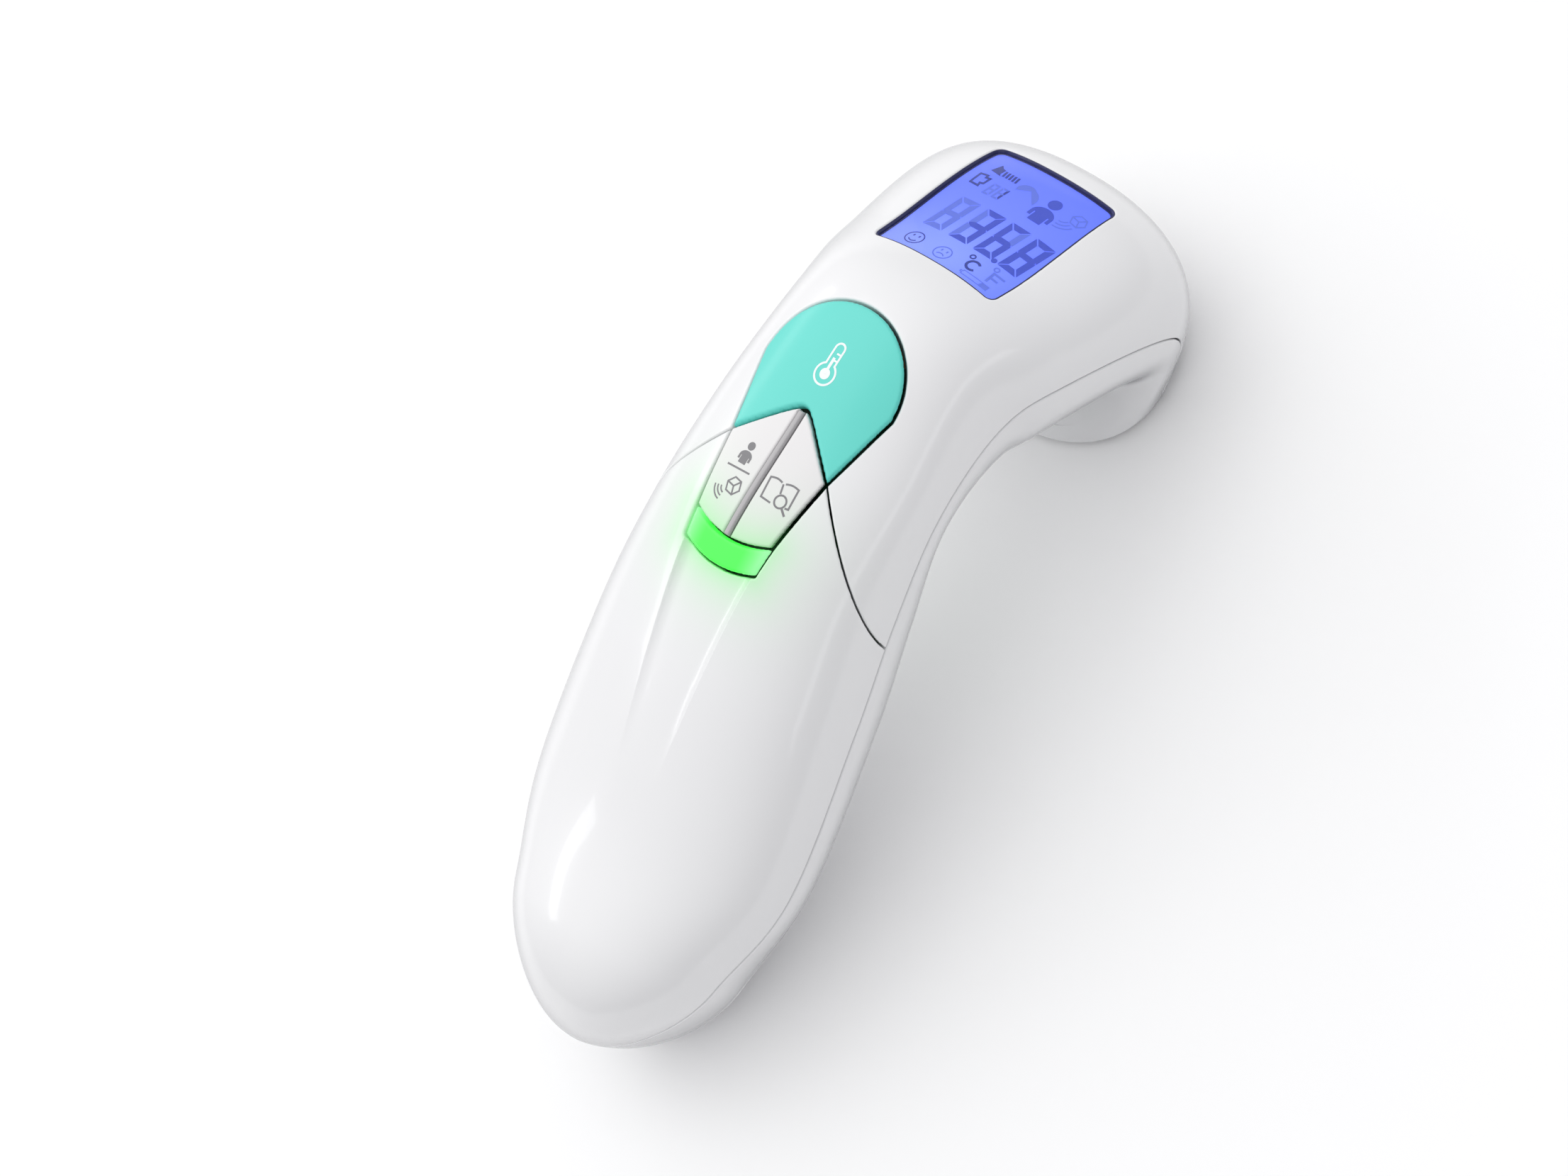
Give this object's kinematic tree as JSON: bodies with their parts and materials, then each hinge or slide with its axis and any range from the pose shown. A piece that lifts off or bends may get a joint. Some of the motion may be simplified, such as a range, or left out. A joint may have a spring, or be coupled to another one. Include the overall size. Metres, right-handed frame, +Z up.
{
  "type": "non-contact infrared thermometer",
  "caption": "Hand-held infrared thermometer with a curved white housing, tilted display, large thumb button, two small keys, light bar, flared probe nose and sliding battery door.",
  "frame": {"origin": "centre of the object's footprint, on the surface it lies on", "axes": "+X runs from the handle butt to the head, +Y to the left of someone who looks at the face with the head up, +Z up out of the face"},
  "size_m": [0.1548, 0.0534, 0.0536],
  "materials": {
    "housing": "smooth moulded plastic with a soft gloss",
    "scan_key": "satin teal moulded plastic with a printed mark",
    "small_keys": "satin light grey moulded plastic with printed marks",
    "divider": "satin grey moulded plastic",
    "light": "translucent diffuser, lit green",
    "window": "clear polished window",
    "lcd": "liquid crystal cell over a blue backlight",
    "backlight": "white light guide",
    "ring": "satin grey plastic ring",
    "reflector": "polished metal cone",
    "sensor_can": "nickel plated can",
    "black_plastic": "matte black moulded plastic",
    "tray": "matte white moulded plastic",
    "circuit_board": "green solder mask",
    "ribbon": "amber flexible film",
    "cell_jacket": "plain blue cell jacket",
    "contact_metal": "nickel plated spring steel",
    "screw_steel": "zinc plated steel",
    "led_package": "clear green diode"
  },
  "bodies": {
    "housing": {"front_shell_upper": "housing", "front_shell_lower": "housing", "rear_shell": "housing", "display_window": "window", "button_divider": "divider", "light_bar": "light", "probe_ring": "ring", "sensor_cone": "reflector", "sensor_holder": "black_plastic", "infrared_sensor": "sensor_can", "sensor_board": "circuit_board", "lcd_cell": "lcd", "lcd_frame": "black_plastic", "backlight": "backlight", "display_board": "circuit_board", "main_board": "circuit_board", "processor_chip": "black_plastic", "buzzer": "black_plastic", "status_leds": "led_package", "scan_switch": "black_plastic", "mode_switch": "black_plastic", "memory_switch": "black_plastic", "battery_tray": "tray", "cell_left": "cell_jacket", "cell_right": "cell_jacket", "cell_springs": "contact_metal", "cell_contacts": "contact_metal", "board_screws": "screw_steel", "housing_screws": "screw_steel", "display_ribbon": "ribbon", "sensor_ribbon": "ribbon"},
    "scan_key": {"scan_button": "scan_key", "scan_plunger": "black_plastic"},
    "mode_key": {"mode_button": "small_keys", "mode_plunger": "black_plastic"},
    "memory_key": {"memory_button": "small_keys", "memory_plunger": "black_plastic"},
    "door": {"battery_door": "housing"}
  },
  "joints": [
    {"name": "scan_press", "type": "slide", "parent": "housing", "child": "scan_key", "axis": [0, 0, -1], "range_m": [0, 0.0005], "stiffness_N_per_m": 3000},
    {"name": "mode_press", "type": "slide", "parent": "housing", "child": "mode_key", "axis": [0, 0, -1], "range_m": [0, 0.0005], "stiffness_N_per_m": 3000},
    {"name": "memory_press", "type": "slide", "parent": "housing", "child": "memory_key", "axis": [0, 0, -1], "range_m": [0, 0.0005], "stiffness_N_per_m": 3000},
    {"name": "door_slide", "type": "slide", "parent": "housing", "child": "door", "axis": [-0.9613, 0, -0.2756], "range_m": [0, 0.06]}
  ]
}
